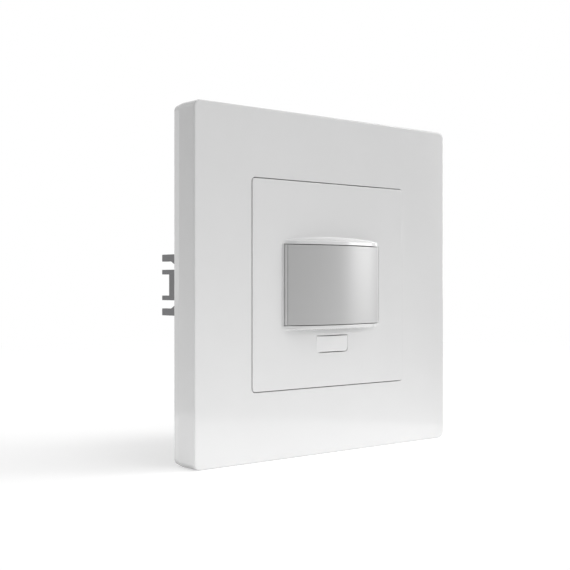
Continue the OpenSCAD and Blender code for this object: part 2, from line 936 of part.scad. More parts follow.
module terminal_live() { color("gray") terminal(terminal_x[0]); }

module terminal_load() { color("gray") terminal(terminal_x[1]); }

module terminal_extra() { color("gray") terminal(terminal_x[2]); }

// A bent strip in each pocket: a foot on the board, an upright and a springy leaf
module terminal_contacts() {
    strip_w = contact_pocket_w - 2 * clear;
    low = wire_z - contact_pocket_h / 2 + clear;
    high = wire_z + contact_pocket_h / 2 - clear;
    leaf_y = contact_end_y - 2 * clear;
    leaf_rise = 2;
    leaf_tip = 0.8;
    color("gold")
        for (x = terminal_x)
            translate([x - strip_w / 2, 0, 0])
                rotate([90, 0, 90])
                    linear_extrude(strip_w)
                        polygon([[block_y, low], [block_y, high], [leaf_y, high],
                                 [leaf_y, high - contact_t], [block_y + contact_t, high - contact_t],
                                 [block_y + contact_t, low + contact_t], [leaf_y - leaf_tip, low + leaf_rise],
                                 [leaf_y - leaf_tip, low + leaf_rise - contact_t], [block_y + leaf_rise, low]]);
}

module release(x) {
    translate([x - release_w / 2, release_y, release_z - release_h / 2])
        cube([release_w, body_depth + release_proud - release_y, release_h]);
}

module release_live() { color("darkorange") release(terminal_x[0]); }

module release_load() { color("darkorange") release(terminal_x[1]); }

module release_extra() { color("darkorange") release(terminal_x[2]); }

frame_plate();
centre_cover();
fresnel_lens();
push_button();
front_housing();
mounting_strap();
rear_housing();
housing_screws();
claw_left();
claw_right();
claw_pins();
claw_screw_left();
claw_screw_right();
sensor_board();
pir_can();
pir_filter();
pir_leads();
light_sensor();
switch_body();
switch_plunger();
trimmer_bodies();
time_rotor();
lux_rotor();
board_spacers();
board_header();
header_pins();
power_board();
relay();
film_capacitor();
bulk_capacitor();
varistor();
choke();
terminal_live();
terminal_load();
terminal_extra();
terminal_contacts();
release_live();
release_load();
release_extra();
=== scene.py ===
"""Looks of the motion sensor light switch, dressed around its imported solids."""
import json
import math

import bmesh
import bpy
import numpy as np
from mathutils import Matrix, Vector


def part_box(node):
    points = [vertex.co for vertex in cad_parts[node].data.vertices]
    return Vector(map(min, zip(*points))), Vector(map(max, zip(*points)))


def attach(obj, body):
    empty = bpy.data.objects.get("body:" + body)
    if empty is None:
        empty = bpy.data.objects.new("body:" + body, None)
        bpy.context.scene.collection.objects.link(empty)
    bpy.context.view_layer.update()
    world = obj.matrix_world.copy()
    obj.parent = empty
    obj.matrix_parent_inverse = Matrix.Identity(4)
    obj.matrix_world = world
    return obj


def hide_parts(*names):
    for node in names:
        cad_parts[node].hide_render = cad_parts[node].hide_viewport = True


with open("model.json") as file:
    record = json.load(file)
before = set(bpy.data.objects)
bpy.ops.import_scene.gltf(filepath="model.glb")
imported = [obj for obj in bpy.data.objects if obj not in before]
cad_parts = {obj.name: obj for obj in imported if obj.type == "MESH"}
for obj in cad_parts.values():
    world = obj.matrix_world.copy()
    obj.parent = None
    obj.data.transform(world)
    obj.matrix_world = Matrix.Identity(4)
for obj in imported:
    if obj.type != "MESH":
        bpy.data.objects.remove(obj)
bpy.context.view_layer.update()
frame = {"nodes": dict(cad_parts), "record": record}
nodes = frame["nodes"]
scene = bpy.context.scene

MM = 0.001
PLATE_LOW = Vector(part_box("frame_plate")[0])
FACE_Y = PLATE_LOW.y
FLOOR_Z = PLATE_LOW.z

# Camera, fitted to the frame's four front corners in the photograph
VIEW_ANGLE = math.radians(40.13)
FOCAL_PX = 1053.8
PHOTO_PX = 570
SENSOR_MM = 36
CAMERA_AHEAD = 264.04 * MM
CAMERA_ASIDE = 11.68 * MM
CAMERA_CLIP = 10 * MM


# Materials

PLASTIC_IOR = 1.49
GLOSS_IOR = 1.62
LENS_IOR = 1.76
CLOUD_SCALE = 90
STREAK_SCALE = 1500
PATCH_SCALE = 260
TINT_FROM = 0.35
TINT_TO = 0.65
GRAIN_BUMP = 0.25
STREAK_BUMP = 0.3
STREAK_DEPTH = 0.00002
METAL_NOISE_ROUGH = 0.6
PATCH_DARK, PATCH_LIGHT = 0.94, 1.04
PATCH_SMOOTH, PATCH_DULL = 0.88, 1.14


def new_material(name):
    """A principled material: returns it with its node tree and shader."""
    mat = bpy.data.materials.new("look_" + name)
    mat.use_nodes = True
    tree = mat.node_tree
    return mat, tree, tree.nodes["Principled BSDF"]


def noise(tree, scale, detail=3.0, rough=0.5, stretch=None):
    """Noise over the object's own coordinates, in cycles per metre."""
    coords = tree.nodes.new("ShaderNodeTexCoord")
    texture = tree.nodes.new("ShaderNodeTexNoise")
    texture.inputs["Scale"].default_value = scale
    texture.inputs["Detail"].default_value = detail
    texture.inputs["Roughness"].default_value = rough
    if stretch:
        mapping = tree.nodes.new("ShaderNodeMapping")
        mapping.inputs["Scale"].default_value = stretch
        tree.links.new(coords.outputs["Object"], mapping.inputs["Vector"])
        tree.links.new(mapping.outputs["Vector"], texture.inputs["Vector"])
    else:
        tree.links.new(coords.outputs["Object"], texture.inputs["Vector"])
    return texture.outputs["Fac"]


def spread(tree, value, low, high, start=0.3, end=0.7, kind="LINEAR"):
    """Maps a value between two limits to a range."""
    node = tree.nodes.new("ShaderNodeMapRange")
    node.interpolation_type = kind
    node.inputs["From Min"].default_value = start
    node.inputs["From Max"].default_value = end
    node.inputs["To Min"].default_value = low
    node.inputs["To Max"].default_value = high
    tree.links.new(value, node.inputs["Value"])
    return node.outputs["Result"]


def tint(tree, value, dark, light):
    """A colour between two, by a noise value."""
    ramp = tree.nodes.new("ShaderNodeValToRGB")
    ramp.color_ramp.elements[0].position = TINT_FROM
    ramp.color_ramp.elements[0].color = (*dark, 1)
    ramp.color_ramp.elements[1].position = TINT_TO
    ramp.color_ramp.elements[1].color = (*light, 1)
    tree.links.new(value, ramp.inputs["Fac"])
    return ramp.outputs["Color"]


def bump(tree, shader, height, strength, distance):
    """Gives a shader a fine relief of a noise value."""
    node = tree.nodes.new("ShaderNodeBump")
    node.inputs["Strength"].default_value = strength
    node.inputs["Distance"].default_value = distance
    tree.links.new(height, node.inputs["Height"])
    tree.links.new(node.outputs["Normal"], shader.inputs["Normal"])


def shade(color, factor):
    """A colour made darker or lighter, no brighter than white."""
    return tuple(min(1.0, c * factor) for c in color)


def plastic(name, color, rough, grain, grain_depth, vary=0.03, uneven=0.15, ior=PLASTIC_IOR):
    """Moulded plastic: a fine grain, a little uneven gloss and faint clouding of the colour."""
    mat, tree, shader = new_material(name)
    cloud = noise(tree, CLOUD_SCALE, detail=2)
    fine = noise(tree, grain, detail=4)
    clouded = tint(tree, cloud, shade(color, 1 - vary), shade(color, 1 + vary))
    tree.links.new(clouded, shader.inputs["Base Color"])
    sheen = spread(tree, fine, rough * (1 - uneven), rough * (1 + uneven), start=0.2, end=0.8)
    tree.links.new(sheen, shader.inputs["Roughness"])
    bump(tree, shader, fine, GRAIN_BUMP, grain_depth)
    shader.inputs["IOR"].default_value = ior
    return mat


def sheet_metal(name, color, rough, stretch):
    """Rolled or plated metal: fine streaks along the rolling direction and a dull patchy sheen."""
    mat, tree, shader = new_material(name)
    streaks = noise(tree, STREAK_SCALE, detail=3, rough=METAL_NOISE_ROUGH, stretch=stretch)
    patches = noise(tree, PATCH_SCALE, detail=4, rough=METAL_NOISE_ROUGH)
    patchy = tint(tree, patches, shade(color, PATCH_DARK), shade(color, PATCH_LIGHT))
    tree.links.new(patchy, shader.inputs["Base Color"])
    sheen = spread(tree, patches, rough * PATCH_SMOOTH, rough * PATCH_DULL)
    tree.links.new(sheen, shader.inputs["Roughness"])
    bump(tree, shader, streaks, STREAK_BUMP, STREAK_DEPTH)
    shader.inputs["Metallic"].default_value = 1.0
    return mat


WHITE = plastic("white_gloss", (0.77, 0.77, 0.77), 0.085, 900, 0.000004, 0.006, ior=GLOSS_IOR)
# The button's plastic is the gloss white made lighter: painted light that makes up for the shade the bulge
# casts on the button
BUTTON_WHITE_PAINTED_LIGHT = plastic("button_white", (0.82, 0.82, 0.82), 0.085, 900, 0.000004, 0.006, ior=GLOSS_IOR)
LENS = plastic("lens_grey", (0.45, 0.45, 0.45), 0.3, 1200, 0.0000005, 0.004, 0.03, LENS_IOR)
# The lens ends are the lens plastic made lighter: a painted highlight that brightens the border strip at
# each end
LENS_END_PAINTED_LIGHT = plastic("lens_end", (0.62, 0.62, 0.62), 0.3, 1200, 0.0000005, 0.004, 0.03)
HOUSING_LIGHT = plastic("housing_light", (0.62, 0.62, 0.61), 0.5, 1800, 0.00006, 0.04)
HOUSING_DARK = plastic("housing_dark", (0.055, 0.057, 0.06), 0.46, 1500, 0.0001, 0.09, 0.22)
STRAP = sheet_metal("strap_steel", (0.62, 0.62, 0.60), 0.36, (1, 1, 0.06))
CLAW = sheet_metal("claw_steel", (0.18, 0.18, 0.184), 0.5, (1, 0.06, 1))
FASTENER = sheet_metal("fastener_steel", (0.58, 0.57, 0.54), 0.3, (1, 0.3, 1))
BOARD = plastic("board_green", (0.02, 0.12, 0.045), 0.35, 1200, 0.00001)
CAN = sheet_metal("can_metal", (0.75, 0.74, 0.7), 0.2, (1, 1, 1))
FILTER = plastic("filter_dark", (0.01, 0.01, 0.013), 0.08, 2000, 0.000002)
CONTACT = sheet_metal("contact_metal", (0.75, 0.5, 0.2), 0.25, (1, 0.1, 1))
RESIN = plastic("clear_resin", (0.55, 0.6, 0.62), 0.1, 2000, 0.000002)
BLACK = plastic("black_plastic", (0.02, 0.02, 0.021), 0.42, 3500, 0.00002)
RED = plastic("plunger_red", (0.35, 0.02, 0.015), 0.35, 3000, 0.00001)
BLUE = plastic("trimmer_blue", (0.02, 0.07, 0.3), 0.35, 3000, 0.00001)
NATURAL = plastic("inner_white", (0.66, 0.65, 0.6), 0.4, 3000, 0.00001)
YELLOW = plastic("film_yellow", (0.5, 0.28, 0.03), 0.25, 2000, 0.00001)
SLEEVE = plastic("sleeve_blue", (0.01, 0.015, 0.05), 0.2, 2000, 0.00001)
DIPPED = plastic("varistor_blue", (0.03, 0.1, 0.25), 0.35, 900, 0.00003)
FERRITE = plastic("ferrite_brown", (0.06, 0.03, 0.02), 0.5, 2500, 0.00003)
TERMINAL = plastic("terminal_grey", (0.3, 0.3, 0.3), 0.45, 1800, 0.00006, 0.05)
ORANGE = plastic("release_orange", (0.75, 0.16, 0.015), 0.32, 3000, 0.00001)

SLOT_MATERIALS = {m.name.removeprefix("look_"): m for m in (
    WHITE, LENS, HOUSING_LIGHT, HOUSING_DARK, STRAP, CLAW, FASTENER, BOARD, CAN, FILTER, CONTACT, RESIN,
    BLACK, RED, BLUE, NATURAL, YELLOW, SLEEVE, DIPPED, FERRITE, TERMINAL, ORANGE)}


# Carried-over solids: material by slot, and a small rounded edge in millimetres

EDGE_ROUND = {"frame_plate": 0.15, "centre_cover": 0.18, "fresnel_lens": 0.1, "push_button": 0.22,
              "claw_left": 0.12, "claw_right": 0.12, "mounting_strap": 0.12, "rear_housing": 0.25,
              "front_housing": 0.2}
SMALL_ROUND = 0.1
EDGE_SEGMENTS = 3
EDGE_ANGLE = math.radians(28)
WELD_REACH = 0.002 * MM
FLAT_ANGLE = math.radians(0.3)
FACE_WEIGHT = 100
CREASES = {"frame_plate": -2.5 * MM}
CREASE_REACH = 0.02 * MM


def crease_group(depth):
    """A modifier's node group that keeps the edges lying at one depth sharp."""
    group = bpy.data.node_groups.new("crease", "GeometryNodeTree")
    group.interface.new_socket("Geometry", in_out="INPUT", socket_type="NodeSocketGeometry")
    group.interface.new_socket("Geometry", in_out="OUTPUT", socket_type="NodeSocketGeometry")
    start = group.nodes.new("NodeGroupInput")
    end = group.nodes.new("NodeGroupOutput")
    place = group.nodes.new("GeometryNodeInputPosition")
    split = group.nodes.new("ShaderNodeSeparateXYZ")
    same = group.nodes.new("FunctionNodeCompare")
    same.operation = "EQUAL"
    same.inputs["B"].default_value = depth
    same.inputs["Epsilon"].default_value = CREASE_REACH
    sharp = group.nodes.new("GeometryNodeSetShadeSmooth")
    sharp.domain = "EDGE"
    sharp.inputs["Shade Smooth"].default_value = False
    group.links.new(place.outputs[0], split.inputs[0])
    group.links.new(split.outputs["Y"], same.inputs["A"])
    group.links.new(same.outputs[0], sharp.inputs["Selection"])
    group.links.new(start.outputs[0], sharp.inputs["Geometry"])
    group.links.new(sharp.outputs[0], end.inputs[0])
    return group


def round_edges(obj, width, angle):
    """Rounds the edges at which faces meet at more than an angle."""
    edge = obj.modifiers.new("edge", "BEVEL")
    edge.width = width
    edge.segments = EDGE_SEGMENTS
    edge.limit_method = "ANGLE"
    edge.angle_limit = angle


def soften(obj, width, crease=None):
    """Rounds the sharp edges of a solid without moving its faces."""
    weld = obj.modifiers.new("weld", "WELD")
    weld.merge_threshold = WELD_REACH
    flat = obj.modifiers.new("flat", "DECIMATE")
    flat.decimate_type = "DISSOLVE"
    flat.angle_limit = FLAT_ANGLE
    round_edges(obj, width, EDGE_ANGLE)
    if crease is not None:
        sharp = obj.modifiers.new("crease", "NODES")
        sharp.node_group = crease_group(crease)
    normals = obj.modifiers.new("normals", "WEIGHTED_NORMAL")
    normals.keep_sharp = crease is not None
    normals.weight = FACE_WEIGHT


for part in frame["record"]["subparts"]:
    solid = nodes[part["node"]]
    solid.data.materials.clear()
    solid.data.materials.append(SLOT_MATERIALS[part["material_slot"]])
    soften(solid, EDGE_ROUND.get(part["node"], SMALL_ROUND) * MM, CREASES.get(part["node"]))


# Centre cover: a fine shell whose bulge runs out into the cover in a hollow curve, in millimetres

COVER_HALF_X = 25.38
COVER_HALF_Z = 25.25
COVER_Y = -8.7
COVER_T = 2.0
COVER_CORNER = 0.9
COVER_EDGE = 0.15
BULGE_HALF = 17.0
BULGE_D = 3.0
BULGE_R = (BULGE_HALF ** 2 + BULGE_D ** 2) / (2 * BULGE_D)
BULGE_MARGIN = 2
RIM_Z = 10.8
COVE_W = 1.15
COVE_W_LOW = 0.4
COVE_POWER = 1.6
COVE_SPREAD = 0.9
LEAST_LIFT = 0.02
RIM_SOFT = 0.5
RIM_SOFT_LOW = 0.8
FOOT_SOFT = 0.12
BULGE_END = 12.5
BULGE_END_SOFT = 3.7
BULGE_END_MORE = 1.2
BEAD_X = 15.5
BEAD_W = 0.46
BEAD_H = 0.1
BEAD_GAP = 0.2
BEAD_RUN_OUT = 0.1
BEAD_END = 0.4
BEAD_STEPS = 9
DIP_D = 0.55
DIP_W = 1.45
DIP_POWER = 1.5
DIP_SPREAD = 0.75
WINDOW = (-15.84, 15.9, -9.93, 9.93)
GROOVE_X = 16.3
GROOVE_W = 0.3
GROOVE_D = 0.2
GROOVE_END = 10.2
GROOVE_FADE = 0.6
BUTTON = (-5.2, 5.2, -16.62, -12.73)
BUTTON_HOLE = (-5.215, 5.33, -16.85, -12.53)
BUTTON_PROUD = 0.14
BUTTON_RISE = 5.0
BUTTON_EDGE = 0.24
BUTTON_LEAN = 0.035
BUTTON_ROUND_LOW = 0.9
BUTTON_ROUND_HIGH = 0.35
BUTTON_BOW = 0.1
BUTTON_FLUSH = 2.0
BUTTON_FLUSH_SOFT = 1.4
BUTTON_CLOSE = 0.12
BUTTON_LIP_T = 0.8
STEM_R = 1.7
STEM_STEPS = 32
PLAY = 0.05
HOLE_EDGE = 0.1
SKIRT_IN = 22.2
SKIRT_OUT = 23.3
HOOK_HALF = 4.0
HOOK_D = 0.5
HOOK_H = 0.9
SHARP_ANGLE = math.radians(35)
TINY = 1e-9

# Grid lines of the relief: how many there are and where they lie closer; a span is from, to and step
COVER_LINES = 61
LEAST_GAP = 0.011
LINE_DIGITS = 4
HOLE_STEPS = (0, 0.02, 0.05, HOLE_EDGE)
RIM_STEPS = (0, 0.012, 0.045, 0.1, 0.18, COVER_EDGE, 0.6, COVER_CORNER)
BULGE_SPAN = (-BULGE_HALF - 1, BULGE_HALF + 1, 0.4)
LIP_SPAN = (RIM_Z - 0.7, RIM_Z + DIP_W + 0.2, 0.06)
LOW_LIP_SPAN = (-LIP_SPAN[1], -LIP_SPAN[0], LIP_SPAN[2])
HOLE_REACH = 1.2
HOLE_GAP = 0.1
GROOVE_GAP = GROOVE_W / 6
BUTTON_LINES_X = 61
BUTTON_LINES_Z = 27
EDGE_STEPS = (0, 0.05, 0.15, 0.3, 0.5, 0.75, 1.0)


def soft_min(a, b, k):
    """The lesser of two values, with a rounded change-over of width k."""
    return np.minimum(a, b) - np.maximum(k - np.abs(a - b), 0) ** 2 / (4 * k)


def soft_max(a, b, k):
    """The greater of two values, with a rounded change-over of width k."""
    return -soft_min(-a, -b, k)


def smooth(t):
    """Runs from nought to one with a level start and end."""
    return t ** 2 * (3 - 2 * t)


def round_drop(inset, r):
    """How far a rounded edge falls away at a given distance in from it."""
    reach = np.clip(r - inset, 0, r)
    return r - np.sqrt(r * r - reach * reach)


def drum_height(x):
    """How far the bulge's drum stands out of the cover."""
    return np.sqrt(BULGE_R ** 2 - x ** 2) - (BULGE_R - BULGE_D)


def cover_height(x, z):
    """How far the cover's front stands out at a place."""
    drum = drum_height(np.clip(x, -BULGE_HALF - BULGE_MARGIN, BULGE_HALF + BULGE_MARGIN))
    w = np.abs(z) - RIM_Z
    lift = np.clip(drum, LEAST_LIFT, None)
    foot = np.where(z > 0, COVE_W, COVE_W_LOW) * (lift / BULGE_D) ** COVE_SPREAD
    steep = lift * (1 + COVE_POWER * np.clip(-w / foot, 0, None))
    run_out = lift * np.clip(1 - w / foot, 0, None) ** COVE_POWER - np.clip(w - foot, 0, None)
    cove = np.where(w < 0, steep, run_out)
    along = np.clip((GROOVE_END - np.abs(z)) / GROOVE_FADE, 0, 1)
    end_x = BULGE_END + BULGE_END_SOFT + BULGE_END_MORE * along
    ends = np.clip((end_x - np.abs(x)) / BULGE_END_SOFT, 0, 1)
    rim = np.where(z > 0, RIM_SOFT, RIM_SOFT_LOW)
    bulge = soft_max(soft_min(drum, cove, rim), np.zeros_like(x), FOOT_SOFT)
    fade = np.clip((DIP_W - w) / (DIP_W - foot), 0, 1) ** DIP_POWER
    hollow = fade * np.clip(w / foot, 0, 1) * (z < 0)
    across = np.clip(1 - ((np.abs(x) - GROOVE_X) / GROOVE_W) ** 2, 0, 1) ** 2
    relief = bulge - DIP_D * (lift / BULGE_D) ** DIP_SPREAD * hollow
    return relief * smooth(ends) - GROOVE_D * across * along


def round_corners(x, z, box, r, reach=None):
    """Grid places with a box's corners turned round; outside the box the pull fades out over reach."""
    x0, x1, z0, z1 = box
    core_x = np.clip(x, x0 + r, x1 - r)
    core_z = np.clip(z, z0 + r, z1 - r)
    over_x, over_z = x - core_x, z - core_z
    wide = np.maximum(np.abs(over_x), np.abs(over_z))
    pull = wide / np.maximum(np.hypot(over_x, over_z), TINY)
    if reach:
        pull = pull + (1 - pull) * np.clip((wide - r) / reach, 0, 1)
    return core_x + over_x * pull, core_z + over_z * pull


def button_round(z):
    """Corner radius of the button at a height: fuller below its middle."""
    return np.where(z < (BUTTON[2] + BUTTON[3]) / 2, BUTTON_ROUND_LOW, BUTTON_ROUND_HIGH)


def clear_of_left(x):
    """Nought at the button's flush left end, one further along."""
    return np.clip((x - BUTTON[0] - BUTTON_FLUSH + BUTTON_FLUSH_SOFT) / BUTTON_FLUSH_SOFT, 0, 1)


def cover_lines(half, marks, fine):
    """Grid lines from edge to edge, closer in fine stretches and beside the marks."""
    lines = [np.linspace(-half, half, COVER_LINES)]
    for low, high, step in fine:
        lines.append(np.arange(low, high + step / 2, step))
    for mark in marks:
        side = np.array(HOLE_STEPS)
        lines += [mark - side, mark + side]
    rim = half - np.array(RIM_STEPS)
    lines += [rim, -rim]
    values = np.unique(np.round(np.concatenate(lines), LINE_DIGITS))
    kept = [values[0]]
    exact = set(np.round(np.concatenate([np.array(marks), rim, -rim]), LINE_DIGITS))
    for v in values[1:]:
        if v - kept[-1] > LEAST_GAP or v in exact:
            kept.append(v)
    return np.array(kept)


def mesh_object(name, points, faces, material):
    """A shaded object of points in metres and faces, with its normals turned outward."""
    mesh = bpy.data.meshes.new(name)
    mesh.from_pydata([tuple(p) for p in points], [], faces)
    mesh.materials.append(material)
    shell = bmesh.new()
    shell.from_mesh(mesh)
    bmesh.ops.recalc_face_normals(shell, faces=shell.faces)
    shell.to_mesh(mesh)
    shell.free()
    obj = bpy.data.objects.new(name, mesh)
    scene.collection.objects.link(obj)
    mesh.shade_smooth()
    mesh.set_sharp_from_angle(angle=SHARP_ANGLE)
    return obj


def box_faces(points, faces, low, high):
    """Adds a closed box to a mesh's points and faces."""
    base = len(points)
    xs, ys, zs = zip(low, high)
    points += [(x, y, z) for x in xs for y in ys for z in zs]
    for quad in ((0, 1, 3, 2), (4, 6, 7, 5), (0, 4, 5, 1), (2, 3, 7, 6), (0, 2, 6, 4), (1, 5, 7, 3)):
        faces.append(tuple(base + i for i in quad))


def join_rings(faces, base, size, count, closed=False):
    """Joins equal rings of points, and caps both ends unless the last ring meets the first."""
    for i in range(count if closed else count - 1):
        low, high = base + i * size, base + (i + 1) % count * size
        for k in range(size):
            after = (k + 1) % size
            faces.append((low + k, low + after, high + after, high + k))
    if not closed:
        for i in (0, count - 1):
            faces.append(tuple(range(base + i * size, base + (i + 1) * size)))


def height_shell(xs, zs, places, height, back_y, holes=()):
    """Points and faces of a closed shell with a relief in front, a flat back and square holes."""
    px, pz = places
    nx, nz = len(xs), len(zs)
    front = np.stack([px, COVER_Y - height, pz], -1).reshape(-1, 3)
    back = np.stack([px, np.full_like(px, back_y), pz], -1).reshape(-1, 3)
    mid_x, mid_z = (xs[:-1] + xs[1:]) / 2, (zs[:-1] + zs[1:]) / 2
    solid = np.zeros((nx + 1, nz + 1), bool)
    solid[1:-1, 1:-1] = True
    for x0, x1, z0, z1 in holes:
        inside = np.outer((mid_x > x0) & (mid_x < x1), (mid_z > z0) & (mid_z < z1))
        solid[1:-1, 1:-1] &= ~inside
    count = nx * nz
    faces = []
    for i in range(nx - 1):
        for j in range(nz - 1):
            if not solid[i + 1, j + 1]:
                continue
            a, b, c, d = i * nz + j, (i + 1) * nz + j, (i + 1) * nz + j + 1, i * nz + j + 1
            faces.append((a, b, c, d))
            faces.append((count + d, count + c, count + b, count + a))
            sides = (((a, b), (0, -1)), ((b, c), (1, 0)), ((c, d), (0, 1)), ((d, a), (-1, 0)))
            for (p, q), (di, dj) in sides:
                if not solid[i + 1 + di, j + 1 + dj]:
                    faces.append((q, p, count + p, count + q))
    points = [tuple(v) for v in np.concatenate([front, back])]
    used = sorted({v for f in faces for v in f})
    index = {v: k for k, v in enumerate(used)}
    return [points[v] for v in used], [tuple(index[v] for v in f) for f in faces]


def edge_lines(low, high, count, edge):
    """Grid lines between two edges, closer along both."""
    near = edge * np.array(EDGE_STEPS)
    middle = np.linspace(low + 2 * edge, high - 2 * edge, count)
    return np.concatenate([low + near, middle, high - near[::-1]])


def make_button():
    """The button's cap, flush at its left edge, with the lip and the stem behind it."""
    x0, x1, z0, z1 = BUTTON
    xs = edge_lines(x0, x1, BUTTON_LINES_X, BUTTON_EDGE)
    zs = edge_lines(z0, z1, BUTTON_LINES_Z, BUTTON_EDGE)
    x, z = np.meshgrid(xs, zs, indexing="ij")
    rise = np.clip((x - x0) / BUTTON_RISE, 0, 1)
    inset = np.minimum(x1 - x, np.minimum(z - z0, z1 - z))
    lean = BUTTON_LEAN * (z - (z0 + z1) / 2)
    height = BUTTON_PROUD * smooth(rise) + lean - round_drop(inset, BUTTON_EDGE)
    low, high = (Vector(c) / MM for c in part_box("push_button"))
    lip_y = COVER_Y + COVER_T + PLAY
    px, pz = round_corners(x, z, BUTTON, button_round(z))
    across = (z - (z0 + z1) / 2) / ((z1 - z0) / 2)
    pz = pz + BUTTON_BOW * (x / x1) ** 2 * across
    pz = pz + BUTTON_CLOSE * (1 - clear_of_left(x)) * np.minimum(across, 0)
    points, faces = height_shell(xs, zs, (px, pz), height, lip_y + PLAY)
    box_faces(points, faces, (low.x, lip_y, low.z), (high.x, lip_y + BUTTON_LIP_T, high.z))
    middle = (low + high) / 2
    base = len(points)
    for y in (lip_y + BUTTON_LIP_T, high.y):
        for t in np.linspace(0, 2 * math.pi, STEM_STEPS, endpoint=False):
            points.append((middle.x + STEM_R * math.cos(t), y, middle.z + STEM_R * math.sin(t)))
    join_rings(faces, base, STEM_STEPS, 2)
    # The cap takes the lightened white, painted light against the bulge's shade
    cap = mesh_object("button_cap", np.array(points) * MM, faces, BUTTON_WHITE_PAINTED_LIGHT)
    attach(cap, "button")
    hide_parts("push_button")


def make_cover():
    """The cover's front with its bulge, grooves and holes, and the skirt with its hooks behind it."""
    holes = (WINDOW, BUTTON_HOLE)
    beside = [(v - HOLE_REACH, v + HOLE_REACH, HOLE_GAP) for v in BUTTON_HOLE]
    grooves = [(v - GROOVE_W, v + GROOVE_W, GROOVE_GAP) for v in (-GROOVE_X, GROOVE_X)]
    wide = [BULGE_SPAN, *beside[:2], *grooves]
    tall = [LIP_SPAN, LOW_LIP_SPAN, *beside[2:]]
    xs = cover_lines(COVER_HALF_X, [v for h in holes for v in h[:2]], wide)
    zs = cover_lines(COVER_HALF_Z, [v for h in holes for v in h[2:]], tall)
    x, z = np.meshgrid(xs, zs, indexing="ij")
    inset = np.minimum(COVER_HALF_X - np.abs(x), COVER_HALF_Z - np.abs(z))
    height = cover_height(x, z) - round_drop(inset, COVER_EDGE)
    for x0, x1, z0, z1 in holes:
        away = np.maximum(np.maximum(x0 - x, x - x1), np.maximum(z0 - z, z - z1))
        fall = round_drop(np.clip(away, 0, None), HOLE_EDGE)
        height = height - fall * (clear_of_left(x) if (x0, x1, z0, z1) == BUTTON_HOLE else 1)
    outline = (-COVER_HALF_X, COVER_HALF_X, -COVER_HALF_Z, COVER_HALF_Z)
    px, pz = round_corners(x, z, outline, COVER_CORNER)
    px, pz = round_corners(px, pz, BUTTON_HOLE, button_round(pz), BUTTON_ROUND_LOW)
    points, faces = height_shell(xs, zs, (px, pz), height, COVER_Y + COVER_T, holes)
    y0, y1 = COVER_Y + COVER_T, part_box("centre_cover")[1].y / MM
    for side in (-1, 1):
        near, far = sorted((side * SKIRT_IN, side * SKIRT_OUT))
        box_faces(points, faces, (near, y0, -SKIRT_OUT), (far, y1, SKIRT_OUT))
        box_faces(points, faces, (-SKIRT_IN, y0, near), (SKIRT_IN, y1, far))
        near, far = sorted((side * (SKIRT_IN - HOOK_D), side * SKIRT_IN))
        box_faces(points, faces, (-HOOK_HALF, y1 - HOOK_H, near), (HOOK_HALF, y1, far))
    cover = mesh_object("cover_shell", np.array(points) * MM, faces, WHITE)
    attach(cover, "mechanism")
    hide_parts("centre_cover")


def make_lens_ends():
    """A low rounded bead along each end of the lens."""
    top = WINDOW[3] - BEAD_GAP
    rows = (-top, -top + BEAD_RUN_OUT, top - BEAD_RUN_OUT, top)
    points, faces = [], []
    for side in (-1, 1):
        base = len(points)
        for z in rows:
            tall = BEAD_H if abs(z) < top else BEAD_H * BEAD_END
            for t in np.linspace(0, math.pi, BEAD_STEPS):
                x = BEAD_X + BEAD_W / 2 * math.cos(t)
                points.append((side * x, COVER_Y - drum_height(x) - tall * math.sin(t), z))
        join_rings(faces, base, BEAD_STEPS, len(rows))
    # The beads take the lightened lens plastic, a painted highlight along the lens ends
    ends = mesh_object("lens_ends", np.array(points) * MM, faces, LENS_END_PAINTED_LIGHT)
    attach(ends, "mechanism")


make_cover()
make_button()
make_lens_ends()


# Back of the mechanism: turned screws, ribbed releases, wire funnels and housing trim, in millimetres

TURN = 48
BODY_HALF = 22.0
BOSS_AT = 16.5
BOSS_RIM = ((2.45, 24.95), (2.45, 25.1), (2.55, 25.2), (2.85, 25.2), (3.0, 25.05), (3.0, 24.95))
WIRE_R = 1.7
WIRE_Z = -10.3
FUNNEL = ((-0.15, 24.2), (-0.15, 24.8), (0.02, 24.98), (0.45, 25.3), (0.6, 25.34), (0.75, 25.28),
          (0.8, 25.15), (0.8, 24.95), (0.05, 24.2))
THREAD_PITCH = 0.5
THREAD_DEPTH = 0.27
THREAD_STEPS = 8
SHANK_R = 1.5
HEAD_H = 1.7
HEAD_CHAMFER_H = 0.2
HEAD_CHAMFER_IN = 0.15
TIP_L = 1.2
TIP_END = ((0.36, 0.1), (0.24, 0.0))
SLOT_HALF = 0.4
SLOT_D = 0.8
LOBE_STEPS = 24
LOBE_LEVELS = ((1.0, 0.0), (1.0, 0.45), (0.985, 0.7), (0.94, 0.88), (0.84, 0.97), (0.6, 1.0))
RIBS = 4
RIB_DEPTH = 0.3
RIB_FALL = 0.06
RIB_TOP = (0.3, 0.7)
LEVER_ROUND = 0.08
LEVER_ANGLE = math.radians(30)
BELLY_RIBS = range(-3, 4)
BELLY_RIB_APART = 3.6
BELLY_RIB_ROOT = 0.1

# Steps of a rib under the housing: from and to along the depth, half width, height
BELLY_RIB_STEPS = ((5.0, 22.0, 0.5, 0.12), (5.2, 21.8, 0.3, 0.3))


def turned(points, faces, x, z, rings, closed=False):
    """Adds a body turned about a line along Y; each ring has a radius, or a list of radii, and a depth."""
    base = len(points)
    angles = 2 * math.pi * np.arange(TURN) / TURN
    for radius, y in rings:
        radii = np.broadcast_to(radius, TURN)
        points += [(x + r * math.cos(t), y, z + r * math.sin(t)) for r, t in zip(radii, angles)]
    join_rings(faces, base, TURN, len(rings), closed)


def threaded(low, high):
    """Rings of a threaded shank between two depths."""
    angles = np.arange(TURN) / TURN
    rings = []
    for y in np.arange(low, high, THREAD_PITCH / THREAD_STEPS):
        phase = (y / THREAD_PITCH - angles) % 1
        rings.append((SHANK_R - THREAD_DEPTH * np.abs(2 * phase - 1), y))
    return rings


